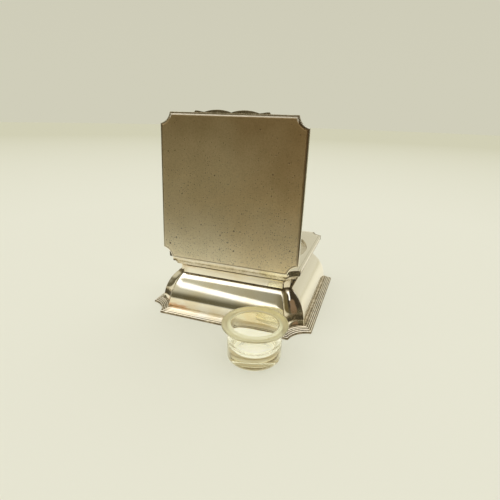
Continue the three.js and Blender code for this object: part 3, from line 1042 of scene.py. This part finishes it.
def satin_pits(finish, spacing, size_share, most):
    """Round dark pits, one in some of the cells, in more of them towards the hinge."""
    cell = finish.add("ShaderNodeTexVoronoi", finish.place, voronoi_dimensions="2D")
    finish.fill(cell, Scale=1 / (spacing * mm))
    chance = finish.add("ShaderNodeSeparateColor", cell.outputs["Color"]).outputs
    by_length = finish.ramp(finish.along("Y"), -satin_reach * mm, satin_reach * mm, pit_front_share, 1)
    limit = finish.times(by_length, finish.patches(**pit_patches), most)
    there = finish.sum(chance["Red"], limit, "LESS_THAN")
    least, largest = pit_size_shares
    size = finish.ramp(chance["Green"], 0, 1, size_share * least, size_share * largest)
    inside = finish.sum(cell.outputs["Distance"], size, "LESS_THAN")
    return finish.times(there, inside, finish.ramp(chance["Blue"], 0, 1, *pit_darkness))


def glass_finish():
    finish = Finish("pale_glass")
    cloudy = finish.grime()
    finish.set(Base_Color=finish.mix(cloudy, glass_clear, glass_cloudy))
    finish.set(Roughness=finish.times(cloudy, glass_cloudy_roughness))
    finish.set(IOR=glass_refraction, Transmission_Weight=1)
    body = finish.add("ShaderNodeVolumeAbsorption", glass_body_tint, glass_density)
    finish.fill(finish.tree.nodes["Material Output"], Volume=body.outputs["Volume"])
    return finish.material


def matt_finish(name, first, second, size, roughness, relief):
    finish = Finish(name)
    grain = finish.noise(size, **matt_grain)
    finish.set(Base_Color=finish.mix(finish.ramp(grain, *matt_spread), first, second))
    finish.set(Roughness=roughness, Normal=finish.bump(grain, relief))
    return finish.material


def wood_finish():
    finish = Finish("board_wood")
    lines = finish.noise(**wood_lines)
    finish.set(Base_Color=finish.mix(finish.spread(lines), wood_light, wood_dark))
    finish.set(Roughness=finish.spread(lines, *wood_roughness), Normal=finish.bump(lines, wood_relief))
    return finish.material


# Assembly


def dress(piece, material, node, body="body"):
    """Gives a piece its finish and the body that it rides on, and puts it in its node's place."""
    paint(piece, material)
    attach(piece, body)
    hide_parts(node)


def paint(piece, material):
    piece.data.materials.clear()
    piece.data.materials.append(material)


def assemble():
    silver = silver_finish("body_silver")
    foot_silver = silver_finish("foot_silver", roughness=foot_roughness)
    dress(make_foot_border(), foot_silver, "foot_border")
    bulged_silver = silver_finish("bulged_silver", streak_tints=(foot_brown_streaks,))
    dress(make_body_shell(), bulged_silver, "body_shell")
    neck_silver = silver_finish("neck_silver", streak_tints=(neck_streaks, neck_shade_patch))
    dress(make_neck(), neck_silver, "neck_cavetto")
    dress(make_rim(), silver, "stepped_rim")
    dress(make_top_plate(), silver, "top_plate")
    dress(make_well_cup(), silver, "well_cup")
    lid_pieces = [
        (make_lid_border(), silver, "lid_border", "silver"),
        (make_lid_panel(), satin_finish(), "lid_plate", "satin_silver"),
        (make_lid_lining(), silver, "lid_lining", "silver"),
        (make_thumb_piece(), silver, "thumb_piece", "silver"),
    ]
    for piece, material, node, slot in lid_pieces:
        piece.matrix_world = lid_place()
        dress(piece, material, node, "lid")
    for number in range(1, knuckle_count + 1):
        body = "lid" if number % 2 == 0 else "body"
        dress(make_knuckle(number), silver, f"hinge_knuckle_{number}", body)
    dress(make_pot(), glass_finish(), "glass_pot", "pot")
    for node in ("body_hinge_bearer", "lid_hinge_bearer", "hinge_plug_left", "hinge_plug_right"):
        paint(frame["nodes"][node], silver)
    paint(frame["nodes"]["base_board"], wood_finish())
    for node, values in matt_finishes.items():
        paint(frame["nodes"][node], matt_finish(*values))


# Camera, fitted to the photograph's view of the foot, the crease, the lid and the plate

camera_azimuth = 18.862
camera_elevation = 20.265
camera_roll = 1.584
camera_distance = 341.6
camera_target = Vector((-9.013, 28.879, 55.121))
camera_lens = 26.762


def direction(azimuth, elevation):
    """Unit vector towards a place. Azimuth 0 is behind the hinge and 90 is on the -X side."""
    turn, lift = math.radians(azimuth), math.radians(elevation)
    return Vector((-math.sin(turn) * math.cos(lift), math.cos(turn) * math.cos(lift), math.sin(lift)))


def make_camera():
    towards = direction(camera_azimuth, camera_elevation)
    right = Vector((0, 0, 1)).cross(towards).normalized()
    level = Matrix((right, towards.cross(right), towards)).transposed()
    turn = (level @ Matrix.Rotation(math.radians(camera_roll), 3, "Z")).to_4x4()
    camera = bpy.data.objects.new("camera", bpy.data.cameras.new("camera"))
    camera.data.lens = camera_lens
    camera.matrix_world = Matrix.Translation((camera_target + towards * camera_distance) * mm) @ turn
    bpy.context.scene.collection.objects.link(camera)
    bpy.context.scene.camera = camera


# Floor: colours, then radii and places round the origin

floor_radius = 5000
floor_light = (0.83, 0.825, 0.75)
floor_fade = (0.67, 0.66, 0.54)
floor_fade_reach = (450, 2600)
room_back_edge = (170, 330)
room_side_edge = (-190, -280)
room_side_start = (0, 50)
# The floor's glows are painted light: over the object's shadow, under the glass pot and in silver seen
# through it
glass_floor_glow = 0.12
glass_mirror_glow = 0.5
floor_shadow_fill_glow = 0.6
floor_glow_tint = (0.96, 0.95, 0.83)
unlit = (0, 0, 0)

# What the silver mirrors, as plain colours
backdrop_low = (0.631, 0.617, 0.49)
backdrop_high = (0.585, 0.565, 0.45)
room_low = (0.13, 0.118, 0.073)
room_right = (0.05, 0.04, 0.025)
room_middle = (0.2, 0.185, 0.13)
room_left = (0.62, 0.6, 0.47)
room_brown = (0.24, 0.165, 0.1)
room_beside = (0.16, 0.13, 0.065)
mirrored_backdrop = (0.73, 0.71, 0.58)
mirrored_floor = (0.98, 0.96, 0.84)
mirrored_far_floor = (0.74, 0.72, 0.59)
mirrored_fade_reach = (130, 450)
ceiling_white = (1.75, 1.76, 1.74)
window_white = (1.5, 1.52, 1.52)

# Edges in the room as two places each, by azimuth and elevation in degrees
ceiling_edge = ((-25, 65), (-50, 53))
window_top = ((-11, 28), (-36, 42.5))
window_foot = ((-11, 17), (-36, 30))
brown_panel = (60, 13)
strip_azimuth = 77

# Where the room's parts start and end, as shares of a direction's length along X, Y or Z
softness_share = 0.03
brown_panel_share = 0.075
strip_width_share = 0.09
strip_side_shares = (0, 0.1)
strip_rise_shares = (0.4, 0.5)
middle_start_shares = (-0.35, -0.08)
left_start_shares = (0.05, 0.55)
wall_rise_shares = (0.1, 0.36)
beside_front_shares = (0.02, -0.12)
beside_right_shares = (-0.3, -0.5)
window_back_shares = (0.1, 0.3)
window_right_shares = (-0.25, -0.05)
backdrop_rise_shares = (0, 0.9)
mirrored_rise_shares = (0, 0.5)
backdrop_front_shares = (-0.45, -0.7)
ceiling_rise_shares = (0.65, 0.75)


def make_floor():
    ring = [(x, y, 0) for x, y in arc((0, 0), floor_radius, 0, 2 * math.pi, turn_steps)[:-1]]
    floor = make_object("floor", ring, [tuple(range(turn_steps))])
    finish = Finish("floor_paper")
    away = finish.add("ShaderNodeVectorMath", finish.place, operation="LENGTH").outputs["Value"]
    path = finish.add("ShaderNodeLightPath").outputs
    through_glass = finish.ramp(path["Transmission Depth"], 0, 1)
    mirrored = finish.times(path["Is Glossy Ray"], finish.sum(1, through_glass, "SUBTRACT"))
    colour = finish.mix(finish.over(away, *floor_fade_reach), floor_light, floor_fade)
    fade = finish.over(away, *mirrored_fade_reach)
    colour = finish.mix(mirrored, colour, finish.mix(fade, mirrored_floor, mirrored_far_floor))
    back = finish.along("Y")
    beside = finish.over(finish.along("X"), *room_side_edge)
    beside = finish.times(beside, finish.over(back, *room_side_start))
    past_edge = finish.sum(finish.over(back, *room_back_edge), beside, "MAXIMUM")
    colour = finish.mix(finish.times(mirrored, past_edge), colour, room_low)
    # The floor glows, painted light: for the camera it fills in the object's shadow on it; seen through
    # the glass pot, or mirrored in silver through it, it glows more
    shadow_fill = finish.times(path["Is Camera Ray"], floor_shadow_fill_glow)
    through = finish.times(path["Is Transmission Ray"], glass_floor_glow)
    beyond = finish.times(path["Is Glossy Ray"], through_glass, glass_mirror_glow)
    glow = finish.sum(finish.sum(shadow_fill, through), beyond)
    finish.set(Base_Color=finish.mix(shadow_fill, colour, unlit), Emission_Strength=glow)
    finish.set(Emission_Color=finish.mix(1, colour, floor_glow_tint, "MULTIPLY"))
    finish.set(Roughness=1, Specular_IOR_Level=0)
    floor.data.materials.append(finish.material)


class Room(NodeTree):
    """The world's colour by direction: a backdrop, a dark room and soft lit panels."""

    ramp_kind = "SMOOTHSTEP"

    def __init__(self):
        world = bpy.data.worlds.new("studio")
        bpy.context.scene.world = world
        super().__init__(world)
        self.view = self.add("ShaderNodeTexCoord").outputs["Generated"]

    def along(self, axis):
        """How far the direction lies along an axis, from -1 to 1."""
        node = self.add("ShaderNodeVectorMath", self.view, tuple(axis), operation="DOT_PRODUCT")
        return node.outputs["Value"]

    def past_edge(self, edge, upwards, softness):
        """1 above the great circle through two places, or below it, fading to 0 across it."""
        across = direction(*edge[1]).cross(direction(*edge[0])).normalized()
        if (across.z > 0) != upwards:
            across = -across
        return self.ramp(self.along(across), -softness, softness)

    def seen_plainly(self):
        """1 where the camera looks at the room itself, also through glass."""
        path = self.add("ShaderNodeLightPath").outputs
        straight = self.sum(path["Is Camera Ray"], path["Transmission Depth"], clamp=True)
        return self.sum(straight, path["Diffuse Depth"], "SUBTRACT", clamp=True)

    def round_panel(self, place, size):
        return self.ramp(self.along(direction(*place)), 1 - size, 1 - size / 2)

    def upright_strip(self, azimuth, width):
        """1 within a width of the upright plane through an azimuth, on that azimuth's side."""
        away = self.along(direction(azimuth + 90, 0))
        inside = self.ramp(self.sum(away, 0, "ABSOLUTE"), width, width / 2)
        return self.times(inside, self.ramp(self.along(direction(azimuth, 0)), *strip_side_shares))


def make_world():
    room = Room()
    side, back, rise = (room.along(axis) for axis in ((1, 0, 0), (0, 1, 0), (0, 0, 1)))
    high = room.mix(room.ramp(side, *middle_start_shares), room_right, room_middle)
    high = room.mix(room.ramp(side, *left_start_shares), high, room_left)
    walls = room.mix(room.ramp(rise, *wall_rise_shares), room_low, high)
    beside = room.times(room.ramp(back, *beside_front_shares), room.ramp(side, *beside_right_shares))
    walls = room.mix(beside, walls, room_beside)
    window = room.times(
        room.past_edge(window_top, False, softness_share),
        room.past_edge(window_foot, True, 2 * softness_share),
        room.ramp(back, *window_back_shares),
        room.ramp(side, *window_right_shares),
    )
    walls = room.mix(window, walls, window_white)
    walls = room.mix(room.round_panel(brown_panel, brown_panel_share), walls, room_brown)
    strip = room.upright_strip(strip_azimuth, strip_width_share)
    strip = room.times(strip, room.ramp(rise, *strip_rise_shares))
    walls = room.mix(strip, walls, window_white)
    behind = room.mix(room.ramp(rise, *backdrop_rise_shares), backdrop_low, backdrop_high)
    mirrored = room.mix(room.ramp(rise, *mirrored_rise_shares), mirrored_backdrop, backdrop_high)
    walls = room.mix(room.ramp(back, *backdrop_front_shares), walls, mirrored)
    ceiling = room.past_edge(ceiling_edge, True, softness_share)
    ceiling = room.times(ceiling, room.ramp(rise, *ceiling_rise_shares))
    walls = room.mix(ceiling, walls, ceiling_white)
    colour = room.mix(room.seen_plainly(), walls, behind)
    room.fill(room.tree.nodes["Background"], Color=colour)


# Render settings: enough bounces for the glass pot's walls in front of the mirroring silver
glass_bounces = 24
mirror_bounces = 16

scene = bpy.context.scene
scene.cycles.max_bounces = glass_bounces
scene.cycles.glossy_bounces = mirror_bounces
scene.cycles.transmission_bounces = glass_bounces
scene.view_settings.view_transform = "Standard"
assemble()
make_camera()
make_floor()
make_world()
bpy.context.view_layer.update()
